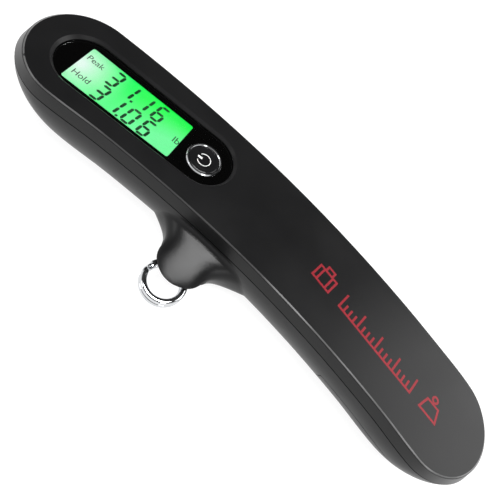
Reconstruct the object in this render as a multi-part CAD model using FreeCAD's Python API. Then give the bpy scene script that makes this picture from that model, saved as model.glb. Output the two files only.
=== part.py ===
"""Digital luggage scale: an arched hand grip with a lit display, a neck and a split ring.

Design frame, in millimetres: the flat front face lies in z = 0 and faces +Z, the grip's
length runs along X, and the neck points towards -Y.  The grip follows a large arc whose
centre lies far below it on the Y axis.  A point of the grip is given by its station s along
that arc, its offset n outwards from it and its height z.  The finished pieces are moved so
that the origin is at the bottom centre of the whole scale lying on its back.
"""
import FreeCAD, Part
import math
import os

V = FreeCAD.Vector
UP = V(0, 0, 1)

# ---- driving dimensions: grip -------------------------------------------------------------
ARCH_RADIUS = 344.0        # centre line of the grip
HALF_LENGTH = 77.8         # half length of the flat face along the arch
CAP_LENGTH = 14.3          # length of the rounded end of the face
FACE_HALF_WIDTH = 14.7
SIDE_FLARE = 0.3           # the side wall leans out by this much
END_FLARE = 2.2            # the end wall leans out by this much
WALL_DEPTH = 4.3           # depth of the front cover's side wall, down to the parting line
GRIP_DEPTH = 22.6          # depth of the fully rounded back at mid length
BACK_POWER = 2.31          # exponent of the rounded back's cross section
END_POWER = 2.81           # exponent of the back's rise towards the ends
BACK_TAPER = 0.19          # how much shorter the back is than the parting line
BACK_STEPS = (0.0, 0.2, 0.38, 0.55, 0.7, 0.82, 0.91, 0.965, 0.99)
WALL = 1.8                 # general wall thickness
EDGE_BEVEL = 0.4           # bevelled edge of the front face
PARTING_GAP = 0.3          # visible groove between the two housing halves
LIP_DEPTH = 1.2
LIP_INSET = 0.95
LIP_PLAY = 0.12
SIDE_STEPS = 12            # steps along each long side of an outline
CAP_STEPS = 12             # steps round each end of an outline

# ---- neck, pull rod and ring --------------------------------------------------------------
NECK_X = -11.85
NECK_Z = -11.6
NECK_SECTIONS = (          # (y, half width, rise and drop from the middle, squareness)
    (-8.5, 23.0, 5.5, 7.0, 3.2), (-11.0, 21.0, 5.5, 6.9, 3.1), (-13.4, 17.2, 5.5, 6.7, 3.0),
    (-15.0, 13.6, 5.35, 6.5, 2.9), (-16.2, 11.3, 5.05, 6.4, 2.8), (-17.5, 9.5, 4.65, 6.3, 2.6),
    (-18.9, 8.2, 4.15, 6.25, 2.5), (-20.5, 7.4, 3.55, 6.2, 2.4), (-22.2, 7.0, 2.95, 6.1, 2.3),
    (-23.7, 6.65, 2.4, 5.8, 2.2), (-25.1, 6.0, 1.85, 5.2, 2.1), (-26.3, 4.9, 1.35, 4.2, 2.0),
    (-27.2, 3.5, 0.95, 3.0, 2.0), (-27.7, 1.9, 0.6, 1.6, 2.0),
)
NECK_STEPS = 24            # points round each section of the neck
NECK_FILLET = 1.8          # hollow radius where the neck meets the grip
ON_SURFACE = 0.01          # a point nearer to a surface than this lies on it
SLOT_TOP = -10.9           # the tip is open below this height, where the ring swings
SLOT_START = -20.3
PULL_Z = -13.4             # height of the rod, the eye and the load cell's middle
EYE_Y = -22.4
EYE_HOLE_R = 2.0
EYE_R = 3.2
EYE_THICK = 2.0
ROD_R = 2.0
ROD_TOP = 9.6
BUSH_R = 3.1
BUSH_BORE_R = 2.15
BUSH_SPAN = (-19.1, -14.6)
RING_WIRE_D = 1.7
RING_MEAN_R = 5.2
RING_PITCH = 1.75          # from one turn to the next
RING_STEP_ANGLE = 38.0     # degrees over which a turn climbs to the next one
RING_START = 205.0         # degrees, where the first turn is cut off

# ---- display ------------------------------------------------------------------------------
DISPLAY_AT = V(-49.5, -4.4, 0)
DISPLAY_TURN = 9.0
WINDOW = (31.2, 13.1)      # visible part of the display
LENS_SIZE = (51.8, 16.4)
LENS_OFFSET = (4.9, 0.2)
RIM_SLOPE = 0.75           # width and depth of the sloped rim round the lens
LENS_TOP = -1.0
LENS_THICK = 0.9
MASK_THICK = 0.07
LEDGE_THICK = 0.55
LCD_GLASS = (35.0, 15.4, 1.5)
LCD_TOP = -2.6
LIGHT_PANEL = (33.0, 14.4, 1.5)
LCD_FRAME_WALL = 0.9
LCD_FRAME_BOTTOM = -6.1
PCB_TOP = -6.3
PCB_THICK = 1.2
PCB_SPAN = (-18.0, 29.3)
PCB_SIDES = (-9.9, 9.6)
PCB_SCREWS = ((26.9, -6.6), (26.9, 6.4))
PCB_POST_R = 1.6
PCB_SCREW_R = 0.8
PCB_SCREW_TOP = -3.5
PCB_HEAD_R = 1.5
PCB_HEAD_H = 0.8

# ---- power button -------------------------------------------------------------------------
BUTTON_U = 23.05
BUTTON_V = -0.4
BUTTON_R = 4.05
BUTTON_TOP = -0.72
BUTTON_HOLE_R = 4.2
BUTTON_FLANGE_R = 5.0
BUTTON_TRAVEL = 0.4
BEZEL_R = 4.85
BEZEL_RISE = 0.45
SWITCH_SIDE = 6.0
SWITCH_TOP = -4.1
PLUNGER_R = 1.6

# ---- load cell ----------------------------------------------------------------------------
BEAM_SPAN = (-16.4, 17.4)
BEAM_HALF_HEIGHT = 5.0
BEAM_THICK = 6.5
BEAM_HOLES_X = (-5.2, 0.6)
BEAM_HOLE_R = 3.9
BEAM_SLOT = 1.2
BEAM_SCREWS_X = (7.9, 14.1)
M3_R = 1.5
M3_HEAD_R = 2.7
M3_HEAD_H = 1.9
M3_REACH = 4.6
GAUGE = (5.4, 3.6, 0.12)
COAT = (5.0, 5.6, 0.8)
NUT_WIDTH = 7.0
NUT_HEIGHT = 3.0
WASHER_R = 4.0
WASHER_THICK = 0.6

# ---- battery bay --------------------------------------------------------------------------
BAY_STATION = 45.0
CELL_R = 5.2
CELL_LENGTH = 44.3
CELL_PITCH = 10.9
CELL_Z = -11.0
NUB_R = 1.9
NUB_LENGTH = 1.0
TRAY_SPAN = (-26.6, 24.4)
TRAY_BOTTOM = -8.6
DOOR_SEAM_Z = -11.4
DOOR_START = -9.2         # along the bay, from its middle
DOOR_GAP = 0.25
DOOR_WALL = 1.5
CONTACT_THICK = 0.4
CONTACT_HALF = TRAY_BOTTOM - CELL_Z

# ---- housing screws -----------------------------------------------------------------------
SCREW_PLACES = ((-72.2, 0.0), (-2.6, 9.6), (14.4, -9.6), (14.4, 9.6))   # (station, offset)
BOSS_SPLIT = -9.0
BOSS_SEAT = -12.4
FRONT_BOSS_R = 2.5
BACK_BOSS_R = 3.2
SCREW_R = 1.1
SCREW_PLAY = 0.06
SCREW_HEAD_R = 2.1
SCREW_HEAD_H = 1.3
SCREW_TOP = -3.5

BIG = 200.0


def arched(s, n, z):
    """A point of the grip from its station, its outward offset and its height."""
    angle = s / ARCH_RADIUS
    reach = ARCH_RADIUS + n
    return V(reach * math.sin(angle), reach * math.cos(angle) - ARCH_RADIUS, z)


def plan_points(half_straight, cap, half_width):
    """Stations and offsets round an outline: two long sides and two oval ends."""
    plan = []
    for i in range(SIDE_STEPS + 1):
        plan.append((half_straight * (2.0 * i / SIDE_STEPS - 1), half_width))
    for i in range(1, CAP_STEPS):
        turn = math.pi * (0.5 - i / CAP_STEPS)
        plan.append((half_straight + cap * math.cos(turn), half_width * math.sin(turn)))
    return plan + [(-s, -n) for s, n in plan]


def spacing():
    """Shared curve parameters, so that every outline runs at the same pace."""
    plan = plan_points(HALF_LENGTH - CAP_LENGTH, CAP_LENGTH, FACE_HALF_WIDTH)
    steps = [0.0]
    for i in range(len(plan)):
        here, after = plan[i], plan[(i + 1) % len(plan)]
        steps.append(steps[-1] + math.dist(here, after))
    return steps


def outline(half_straight, cap, half_width, z):
    """A closed smooth outline whose long sides follow the arch."""
    points = [arched(s, n, z) for s, n in plan_points(half_straight, cap, half_width)]
    curve = Part.BSplineCurve()
    curve.interpolate(Points=points, PeriodicFlag=True, Parameters=spacing())
    return Part.Wire([curve.toShape()])


def wall_outline(inset, z):
    """The leaning side wall's outline at a height, moved in by inset."""
    lean = -z / WALL_DEPTH
    return outline(HALF_LENGTH - CAP_LENGTH, CAP_LENGTH + END_FLARE * lean - inset,
                   FACE_HALF_WIDTH + SIDE_FLARE * lean - inset, z)


def grip_solid(inset=0.0, top=0.0):
    """The grip's solid form, smaller by inset on every side, with its flat top at z = top."""
    half_straight = HALF_LENGTH - CAP_LENGTH
    shoulder = top - EDGE_BEVEL
    face_edge = wall_outline(inset + EDGE_BEVEL, top)
    wall_top = wall_outline(inset, shoulder)
    wall_foot = wall_outline(inset, -WALL_DEPTH)
    back = [wall_foot]
    for q in BACK_STEPS[1:]:
        narrow = (1 - q ** BACK_POWER) ** (1 / BACK_POWER)
        shorten = (1 - q ** END_POWER) ** (1 / END_POWER)
        back.append(outline(half_straight * (1 - BACK_TAPER * q * q),
                            (CAP_LENGTH + END_FLARE - inset) * shorten,
                            (FACE_HALF_WIDTH + SIDE_FLARE - inset) * narrow,
                            -WALL_DEPTH - (GRIP_DEPTH - WALL_DEPTH - inset) * q))
    bevel = Part.makeLoft([face_edge, wall_top], True, True)
    wall = Part.makeLoft([wall_top, wall_foot], True, True)
    return bevel.fuse([wall, Part.makeLoft(back, True, False)])


GRIP_BOTTOM = -WALL_DEPTH - (GRIP_DEPTH - WALL_DEPTH) * BACK_STEPS[-1]


def block(x_span, y_span, z_span):
    """A box between two corners, given as (low, high) along each axis."""
    return Part.makeBox(x_span[1] - x_span[0], y_span[1] - y_span[0], z_span[1] - z_span[0],
                        V(x_span[0], y_span[0], z_span[0]))


def disc(radius, z_low, z_high, x=0.0, y=0.0):
    """An upright cylinder between two heights."""
    return Part.makeCylinder(radius, z_high - z_low, V(x, y, z_low), UP)


def rounded_block(length, width, z_low, z_high, radius, at=(0.0, 0.0)):
    """An upright prism with rounded vertical corners, centred on a point of the plan."""
    solid = block((at[0] - length / 2, at[0] + length / 2),
                  (at[1] - width / 2, at[1] + width / 2), (z_low, z_high))
    uprights = [e for e in solid.Edges if abs(e.tangentAt(e.FirstParameter).z) > 0.9]
    return solid.makeFillet(radius, uprights)


def stadium(length, width, z_low, z_high, at):
    """An upright prism with fully round ends."""
    return rounded_block(length, width, z_low, z_high, width / 2 * 0.999, at)


def stadium_wire(length, width, z, at):
    """The outline of a stadium at a height."""
    half = (length - width) / 2
    radius = width / 2
    x, y = at
    right_arc = Part.Arc(V(x + half, y - radius, z), V(x + half + radius, y, z),
                         V(x + half, y + radius, z))
    left_arc = Part.Arc(V(x - half, y + radius, z), V(x - half - radius, y, z),
                        V(x - half, y - radius, z))
    top = Part.LineSegment(V(x + half, y + radius, z), V(x - half, y + radius, z))
    foot = Part.LineSegment(V(x - half, y - radius, z), V(x + half, y - radius, z))
    return Part.Wire([edge.toShape() for edge in (right_arc, top, left_arc, foot)])


def slab(z_low, z_high):
    """Everything between two heights."""
    return block((-BIG, BIG), (-BIG, BIG), (z_low, z_high))


def in_display(shape):
    """Move a shape from the display's own axes to the design frame."""
    placed = shape.copy()
    placed.rotate(V(0, 0, 0), UP, DISPLAY_TURN)
    placed.translate(DISPLAY_AT)
    return placed


def bay_turn():
    """Direction of the battery bay, in degrees about +Z."""
    return -math.degrees(BAY_STATION / ARCH_RADIUS)


def in_bay(shape):
    """Move a shape from the battery bay's own axes to the design frame."""
    placed = shape.copy()
    placed.rotate(V(0, 0, 0), UP, bay_turn())
    placed.translate(arched(BAY_STATION, 0, 0))
    return placed


def neck_section(y, half_width, rise, drop, squareness):
    """One section of the neck, square to its axis: an oval with fuller or rounder corners."""
    points = []
    for i in range(NECK_STEPS):
        turn = 2 * math.pi * i / NECK_STEPS
        across, up = math.cos(turn), math.sin(turn)
        reach = (abs(across) ** squareness + abs(up) ** squareness) ** (-1 / squareness)
        height = rise if up > 0 else drop
        points.append(V(NECK_X + half_width * reach * across, y, NECK_Z + height * reach * up))
    curve = Part.BSplineCurve()
    curve.interpolate(Points=points, PeriodicFlag=True,
                      Parameters=[float(i) for i in range(NECK_STEPS + 1)])
    return Part.Wire([curve.toShape()])


def neck_solid():
    """The funnel-shaped neck that grows out of the grip's inner side."""
    return Part.makeLoft([neck_section(*section) for section in NECK_SECTIONS], True, False)


def grip_with_neck():
    """The outer shape of the whole housing, its neck blended into the grip."""
    grip = grip_solid()
    neck = neck_solid()
    body = grip.fuse(neck)
    seams = []
    for edge in body.Edges:
        middle = Part.Vertex(edge.valueAt((edge.FirstParameter + edge.LastParameter) / 2))
        if max(grip.distToShape(middle)[0], neck.distToShape(middle)[0]) < ON_SURFACE:
            seams.append(edge)
    return body.makeFillet(NECK_FILLET, seams)


def screw_spots():
    """Plan positions of the housing screws."""
    return [arched(s, n, 0) for s, n in SCREW_PLACES]


def front_cover():
    """The flat front half of the housing, with the display recess and the screw bosses."""
    outer = grip_solid()
    shell = outer.common(slab(-WALL_DEPTH, 1.0))
    shell = shell.cut(grip_solid(WALL, -WALL))
    rebate = grip_solid(LIP_INSET, -WALL).common(slab(-WALL_DEPTH - 1, -WALL_DEPTH + LIP_DEPTH))
    shell = shell.cut(rebate)
    ledge_z = LENS_TOP - LENS_THICK - MASK_THICK
    pad = in_display(stadium(LENS_SIZE[0] + 3, LENS_SIZE[1] + 3, ledge_z - LEDGE_THICK,
                             -WALL + 0.2, LENS_OFFSET))
    shell = shell.fuse(pad.common(grip_solid(WALL - 0.3, 0)))
    posts = [disc(FRONT_BOSS_R, BOSS_SPLIT, -WALL + 0.1, p.x, p.y) for p in screw_spots()]
    for u, v in PCB_SCREWS:
        posts.append(in_display(disc(PCB_POST_R, PCB_TOP, ledge_z - 0.1, u, v)))
    shell = shell.fuse(posts)
    pocket = stadium(LENS_SIZE[0], LENS_SIZE[1], ledge_z, 1.0, LENS_OFFSET)
    reach = 2 * (RIM_SLOPE + 0.1)
    rim = Part.makeLoft([stadium_wire(LENS_SIZE[0], LENS_SIZE[1], -RIM_SLOPE, LENS_OFFSET),
                         stadium_wire(LENS_SIZE[0] + reach, LENS_SIZE[1] + reach, 0.1,
                                      LENS_OFFSET)], True, True)
    window = rounded_block(LCD_GLASS[0] - 1.0, LCD_GLASS[1] - 1.2, -BIG / 10, 0, 0.8)
    button_hole = disc(BUTTON_FLANGE_R + 0.3, -BIG / 10, 0, BUTTON_U, BUTTON_V)
    tools = [in_display(tool) for tool in (pocket, rim, window, button_hole)]
    for spot in screw_spots():
        tools.append(disc(SCREW_R + SCREW_PLAY, BOSS_SPLIT - 1, SCREW_TOP + 0.2, spot.x, spot.y))
    for u, v in PCB_SCREWS:
        tools.append(in_display(disc(PCB_SCREW_R, PCB_TOP - 1, PCB_SCREW_TOP + 0.1, u, v)))
    return shell.cut(tools)


def door_zone(play):
    """The part of space that belongs to the battery cover, smaller by play at its seams."""
    return in_bay(block((DOOR_START + play, BIG), (-BIG / 2, BIG / 2),
                        (-BIG, DOOR_SEAM_Z - play)))


def back_shell():
    """The rounded rear half of the housing, with the neck, open where the battery cover fits."""
    body = grip_with_neck().common(slab(-BIG, -WALL_DEPTH - PARTING_GAP))
    lip_plug = grip_solid(LIP_INSET + LIP_PLAY, -WALL)
    lip_plug = lip_plug.common(slab(-WALL_DEPTH - PARTING_GAP - 0.6,
                                    -WALL_DEPTH + LIP_DEPTH - LIP_PLAY))
    shell = body.fuse(lip_plug).cut(grip_solid(WALL, -WALL))
    within = grip_solid(WALL / 2, -WALL)
    posts = []
    for spot in screw_spots():
        posts.append(disc(BACK_BOSS_R, GRIP_BOTTOM, BOSS_SPLIT, spot.x, spot.y).common(within))
    beam_low = PULL_Z - BEAM_THICK / 2
    pad = block((BEAM_SCREWS_X[0] - 3.2, BEAM_SPAN[1]), (-BEAM_HALF_HEIGHT, BEAM_HALF_HEIGHT),
                (GRIP_BOTTOM + WALL / 2, beam_low))
    shell = shell.fuse([pad] + posts)
    tools = [door_zone(0)]
    for spot in screw_spots():
        tools.append(disc(SCREW_R + 3 * SCREW_PLAY, GRIP_BOTTOM - 1, 0, spot.x, spot.y))
        tools.append(disc(SCREW_HEAD_R + 0.25, GRIP_BOTTOM - 1, BOSS_SEAT, spot.x, spot.y))
    for x in BEAM_SCREWS_X:
        tools.append(disc(M3_R + 0.05, beam_low - M3_REACH - 0.3, beam_low + 1, x, 0))
    tools.append(along_rod(ROD_R + 0.6, SLOT_START - 1, 0))
    tools.append(along_rod(BUSH_R + 0.05, BUSH_SPAN[0] - 0.1, 0))
    tools.append(block((NECK_X - 9, NECK_X + 9), (-BIG, SLOT_START), (-BIG, SLOT_TOP)))
    eye_room = EYE_THICK / 2 + 0.5
    tools.append(Part.makeCylinder(EYE_R + 0.35, 2 * eye_room, V(NECK_X - eye_room, EYE_Y, PULL_Z),
                                   V(1, 0, 0)))
    return shell.cut(tools)


def battery_cover():
    """The slide-off cover of the battery bay, with a hook tab and grip grooves."""
    cover = grip_solid().common(door_zone(DOOR_GAP)).cut(grip_solid(DOOR_WALL, -DOOR_WALL))
    floor_z = GRIP_BOTTOM + WALL
    tab = block((DOOR_START - 1.6, DOOR_START + 3.0), (-3.5, 3.5), (floor_z + 0.5, floor_z + 1.5))
    foot = block((DOOR_START + DOOR_GAP, DOOR_START + 3.0), (-3.5, 3.5),
                 (floor_z - 0.6, floor_z + 0.6))
    cover = cover.fuse([in_bay(tab), in_bay(foot)])
    for i in range(5):
        u = DOOR_START + 5.0 + 2.0 * i
        groove = Part.makeCylinder(0.55, 9.0, V(u, -4.5, GRIP_BOTTOM - 0.05), V(0, 1, 0))
        cover = cover.cut(in_bay(groove))
    return cover.removeSplitter()


def housing_screws():
    """Four self-tapping screws that hold the two housing halves together."""
    screws = []
    for spot in screw_spots():
        head = disc(SCREW_HEAD_R, BOSS_SEAT - SCREW_HEAD_H, BOSS_SEAT, spot.x, spot.y)
        shank = disc(SCREW_R, BOSS_SEAT - 0.1, SCREW_TOP, spot.x, spot.y)
        slot_a = rounded_block(2.6, 0.6, BOSS_SEAT - SCREW_HEAD_H - 0.1,
                               BOSS_SEAT - SCREW_HEAD_H + 0.7, 0.25, (spot.x, spot.y))
        slot_b = rounded_block(0.6, 2.6, BOSS_SEAT - SCREW_HEAD_H - 0.1,
                               BOSS_SEAT - SCREW_HEAD_H + 0.7, 0.25, (spot.x, spot.y))
        screws.append(head.fuse(shank).cut(slot_a).cut(slot_b))
    return Part.makeCompound(screws)


def display_lens():
    """The clear stadium-shaped lens with a hole for the power button."""
    lens = stadium(LENS_SIZE[0] - 0.3, LENS_SIZE[1] - 0.3, LENS_TOP - LENS_THICK, LENS_TOP,
                   LENS_OFFSET)
    hole = disc(BUTTON_HOLE_R, -BIG / 10, 0, BUTTON_U, BUTTON_V)
    return in_display(lens.cut(hole))


def lens_mask():
    """The black printed border on the underside of the lens."""
    low = LENS_TOP - LENS_THICK - MASK_THICK
    mask = stadium(LENS_SIZE[0] - 0.4, LENS_SIZE[1] - 0.4, low, low + MASK_THICK, LENS_OFFSET)
    window = rounded_block(WINDOW[0], WINDOW[1], low - 1, low + 1, 0.6)
    hole = disc(BUTTON_HOLE_R, low - 1, low + 1, BUTTON_U, BUTTON_V)
    return in_display(mask.cut(window).cut(hole))


def lcd_glass():
    """The liquid crystal cell: two glass plates, the upper one shorter at the contact edge."""
    length, width, thick = LCD_GLASS
    upper = rounded_block(length, width, LCD_TOP - thick / 2, LCD_TOP, 0.3)
    lower = rounded_block(length, width, LCD_TOP - thick, LCD_TOP - thick / 2, 0.3)
    return in_display(upper.fuse(lower).removeSplitter())


def light_panel():
    """The light guide behind the display."""
    top = LCD_TOP - LCD_GLASS[2] - 0.1
    return in_display(rounded_block(LIGHT_PANEL[0], LIGHT_PANEL[1], top - LIGHT_PANEL[2], top, 0.5))


def light_led():
    """The side-firing lamp at the light guide's end."""
    top = LCD_TOP - LCD_GLASS[2] - 0.2
    u = -LIGHT_PANEL[0] / 2 - 0.1
    return in_display(block((u - 0.85, u), (-1.6, 1.6), (top - 1.2, top)))


def lcd_frame():
    """The frame that holds the display cell and its light guide on the circuit board."""
    length, width, thick = LCD_GLASS
    play = 0.1
    rim = 2 * (LCD_FRAME_WALL + play)
    frame = rounded_block(length + rim, width + rim, LCD_FRAME_BOTTOM, LCD_TOP - 0.1, 0.8)
    glass_seat = LCD_TOP - thick
    frame = frame.cut(block((-length / 2 - play, length / 2 + play),
                            (-width / 2 - play, width / 2 + play), (glass_seat, 0)))
    frame = frame.cut(block((-LIGHT_PANEL[0] / 2 - play / 2, LIGHT_PANEL[0] / 2 + play / 2),
                            (-LIGHT_PANEL[1] / 2 - play / 2, LIGHT_PANEL[1] / 2 + play / 2),
                            (glass_seat - LIGHT_PANEL[2] - 0.3, 0)))
    lamp_room = block((-LIGHT_PANEL[0] / 2 - 1.05, 0), (-1.7, 1.7),
                      (glass_seat - LIGHT_PANEL[2] - 0.3, glass_seat + 0.01))
    strip_slot = block((-15.1, 15.1), (-width / 2 - play, -width / 2 + 0.45),
                       (LCD_FRAME_BOTTOM, glass_seat + 0.01))
    flange_room = disc(BUTTON_FLANGE_R + 0.5, -3.7, 0, BUTTON_U, BUTTON_V)
    return in_display(frame.cut([lamp_room, strip_slot, flange_room]))


def main_pcb():
    """The circuit board under the display and the button."""
    centre = ((PCB_SPAN[0] + PCB_SPAN[1]) / 2, (PCB_SIDES[0] + PCB_SIDES[1]) / 2)
    board = rounded_block(PCB_SPAN[1] - PCB_SPAN[0], PCB_SIDES[1] - PCB_SIDES[0],
                          PCB_TOP - PCB_THICK, PCB_TOP, 3.0, centre)
    for u, v in PCB_SCREWS:
        board = board.cut(disc(PCB_SCREW_R + 0.1, PCB_TOP - 2, PCB_TOP + 1, u, v))
    return in_display(board)


def pcb_screws():
    """Two small screws that hold the circuit board against the front cover's posts."""
    under = PCB_TOP - PCB_THICK
    screws = []
    for u, v in PCB_SCREWS:
        head = disc(PCB_HEAD_R, under - PCB_HEAD_H, under, u, v)
        shank = disc(PCB_SCREW_R, under, PCB_SCREW_TOP, u, v)
        drive = rounded_block(1.9, 0.45, under - PCB_HEAD_H - 1, under - 0.4, 0.2, (u, v))
        screws.append(head.fuse(shank).cut(drive))
    return in_display(Part.makeCompound(screws))


def controller_blob():
    """The controller chip under its drop of black resin, below the circuit board."""
    dome_height = 1.5
    spread = 4.6
    radius = (spread ** 2 + dome_height ** 2) / (2 * dome_height)
    under = PCB_TOP - PCB_THICK
    ball = Part.makeSphere(radius, V(-4.0, 0.5, under - dome_height + radius))
    return in_display(ball.common(disc(2 * spread, under - 2 * dome_height, under, -4.0, 0.5)))


def converter_chip():
    """The bridge amplifier in a sixteen-leg case, below the circuit board."""
    under = PCB_TOP - PCB_THICK
    body = rounded_block(9.8, 3.8, under - 1.7, under - 0.25, 0.2, (12.0, 1.5))
    legs = []
    for i in range(8):
        for side in (-1, 1):
            v = 1.5 + side * 2.45
            foot = block((12.0 - 4.6 + 1.27 * i, 12.0 - 4.2 + 1.27 * i), (v - 0.56, v + 0.56),
                         (under - 0.9, under))
            legs.append(foot)
    return in_display(body.multiFuse(legs).removeSplitter())


def quartz_can():
    """The quartz crystal in its metal can, below the circuit board."""
    under = PCB_TOP - PCB_THICK
    return in_display(stadium(9.5, 4.2, under - 3.2, under, (-6.5, -6.9)))


def small_parts():
    """Surface-mounted resistors and capacitors on the underside of the circuit board."""
    under = PCB_TOP - PCB_THICK
    chips = []
    for i in range(6):
        chips.append(block((3.0 + 2.6 * i, 4.6 + 2.6 * i), (-4.2, -3.4), (under - 0.55, under)))
        chips.append(block((3.0 + 2.6 * i, 4.6 + 2.6 * i), (6.2, 7.0), (under - 0.7, under)))
    return in_display(Part.makeCompound(chips))


def contact_strip():
    """The striped rubber strip that joins the display cell to the circuit board."""
    width = LCD_GLASS[1] / 2
    return in_display(block((-15.0, 15.0), (-width - 0.05, -width + 0.4 - 0.05),
                            (PCB_TOP, LCD_TOP - LCD_GLASS[2])))


def tact_switch():
    """The base of the push switch under the power button."""
    body = rounded_block(SWITCH_SIDE, SWITCH_SIDE, PCB_TOP, SWITCH_TOP, 0.5, (BUTTON_U, BUTTON_V))
    well = disc(PLUNGER_R + 0.1, SWITCH_TOP - BUTTON_TRAVEL - 0.9, 0, BUTTON_U, BUTTON_V)
    return in_display(body.cut(well))


def switch_plunger():
    """The push switch's moving stem."""
    return in_display(disc(PLUNGER_R, SWITCH_TOP - 0.8, -3.15, BUTTON_U, BUTTON_V))


def power_button():
    """The round dished button cap with a flange that keeps it behind the lens."""
    cap = disc(BUTTON_R, -2.9, BUTTON_TOP, BUTTON_U, BUTTON_V)
    top_edge = [e for e in cap.Edges if e.BoundBox.ZMin > BUTTON_TOP - 0.01]
    cap = cap.makeFillet(0.25, top_edge)
    flange = disc(BUTTON_FLANGE_R, -2.9, -2.45, BUTTON_U, BUTTON_V)
    dish_radius = 16.0
    dish_depth = 0.35
    dish = Part.makeSphere(dish_radius, V(BUTTON_U, BUTTON_V, BUTTON_TOP - dish_depth + dish_radius))
    stem = disc(1.9, -3.15, -2.9, BUTTON_U, BUTTON_V)
    return in_display(cap.fuse(flange).cut(dish).fuse(stem).removeSplitter())


def button_bezel():
    """The bright ring round the button, standing on the lens."""
    inner = BUTTON_HOLE_R
    base = LENS_TOP
    profile = Part.makePolygon([
        V(inner, 0, base), V(BEZEL_R, 0, base), V(BEZEL_R, 0, base + 0.15),
        V(BEZEL_R - 0.22, 0, base + BEZEL_RISE), V(inner + 0.12, 0, base + BEZEL_RISE - 0.05),
        V(inner, 0, base + BEZEL_RISE - 0.2), V(inner, 0, base)])
    ring = Part.Face(profile).revolve(V(0, 0, 0), UP, 360)
    ring.translate(V(BUTTON_U, BUTTON_V, 0))
    return in_display(ring)


def load_cell_beam():
    """The bar load cell: its right end is fixed and its left end carries the pull rod."""
    low = PULL_Z - BEAM_THICK / 2
    high = PULL_Z + BEAM_THICK / 2
    beam = block(BEAM_SPAN, (-BEAM_HALF_HEIGHT, BEAM_HALF_HEIGHT), (low, high))
    for x in BEAM_HOLES_X:
        beam = beam.cut(disc(BEAM_HOLE_R, low - 1, high + 1, x, 0))
    beam = beam.cut(block(BEAM_HOLES_X, (-BEAM_SLOT, BEAM_SLOT), (low - 1, high + 1)))
    for x in BEAM_SCREWS_X:
        beam = beam.cut(disc(M3_R + 0.1, low - 1, high + 1, x, 0))
    rod_hole = Part.makeCylinder(ROD_R + 0.03, 20, V(NECK_X, -10, PULL_Z), V(0, 1, 0))
    return beam.cut(rod_hole)


def strain_gauges():
    """Four foil gauges over the thin walls of the load cell."""
    length, width, thick = GAUGE
    foils = []
    for x in BEAM_HOLES_X:
        for side in (-1, 1):
            inner = side * BEAM_HALF_HEIGHT
            outer = inner + side * thick
            foils.append(block((x - length / 2 + 0.2, x + length / 2 - 0.2),
                               (min(inner, outer), max(inner, outer)),
                               (PULL_Z - width / 2, PULL_Z + width / 2)))
    return Part.makeCompound(foils)


def gauge_coating():
    """Two strips of white sealant over the strain gauges."""
    length, width, thick = COAT
    middle = (BEAM_HOLES_X[0] + BEAM_HOLES_X[1]) / 2
    reach = (BEAM_HOLES_X[1] - BEAM_HOLES_X[0] + length) / 2
    strips = []
    for side in (-1, 1):
        inner = side * BEAM_HALF_HEIGHT
        outer = inner + side * thick
        strip = block((middle - reach, middle + reach), (min(inner, outer), max(inner, outer)),
                      (PULL_Z - width / 2, PULL_Z + width / 2))
        outer_edges = [e for e in strip.Edges
                       if abs(e.BoundBox.YMin - outer) < 0.01 and abs(e.BoundBox.YMax - outer) < 0.01]
        strips.append(strip.makeFillet(0.5, outer_edges).cut(strain_gauges()))
    return Part.makeCompound(strips)


def load_cell_screws():
    """Two screws that fasten the load cell's fixed end to the back shell."""
    low = PULL_Z - BEAM_THICK / 2
    high = PULL_Z + BEAM_THICK / 2
    screws = []
    for x in BEAM_SCREWS_X:
        head = disc(M3_HEAD_R, high, high + M3_HEAD_H, x, 0)
        shank = disc(M3_R, low - M3_REACH, high, x, 0)
        drive = rounded_block(3.4, 0.8, high + 1.0, high + M3_HEAD_H + 1, 0.3, (x, 0))
        cross = rounded_block(0.8, 3.4, high + 1.0, high + M3_HEAD_H + 1, 0.3, (x, 0))
        screws.append(head.fuse(shank).cut(drive).cut(cross))
    return Part.makeCompound(screws)


def hexagon(width, y_low, y_high):
    """A six-sided prism about the pull rod's axis."""
    corner = width / math.sqrt(3)
    points = []
    for i in range(7):
        turn = math.radians(60 * i)
        points.append(V(NECK_X + corner * math.cos(turn), y_low, PULL_Z + corner * math.sin(turn)))
    return Part.Face(Part.makePolygon(points)).extrude(V(0, y_high - y_low, 0))


def along_rod(radius, y_low, y_high):
    """A cylinder about the pull rod's axis."""
    return Part.makeCylinder(radius, y_high - y_low, V(NECK_X, y_low, PULL_Z), V(0, 1, 0))


def pull_rod():
    """The steel rod whose flat eye holds the ring and whose top is bolted to the load cell."""
    rod = along_rod(ROD_R, EYE_Y + 2.4, ROD_TOP)
    eye = Part.makeCylinder(EYE_R, EYE_THICK, V(NECK_X - EYE_THICK / 2, EYE_Y, PULL_Z), V(1, 0, 0))
    hole = Part.makeCylinder(EYE_HOLE_R, 9, V(NECK_X - 4.5, EYE_Y, PULL_Z), V(1, 0, 0))
    rims = [e for e in eye.Edges if abs(e.BoundBox.XMax - e.BoundBox.XMin) < 0.01]
    eye = eye.makeFillet(0.3, rims)
    return rod.fuse(eye).cut(hole).removeSplitter()


def rod_washer():
    """The washer between the load cell and the nut."""
    low = BEAM_HALF_HEIGHT
    return along_rod(WASHER_R, low, low + WASHER_THICK).cut(along_rod(ROD_R + 0.1, 0, 20))


def rod_nut():
    """The hexagon nut on the pull rod."""
    low = BEAM_HALF_HEIGHT + WASHER_THICK
    nut = hexagon(NUT_WIDTH, low, low + NUT_HEIGHT)
    return nut.cut(along_rod(ROD_R + 0.03, 0, 20))


def neck_bush():
    """The plastic sleeve that guides the pull rod inside the neck."""
    return along_rod(BUSH_R, *BUSH_SPAN).cut(along_rod(BUSH_BORE_R, -40, 0))


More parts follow.
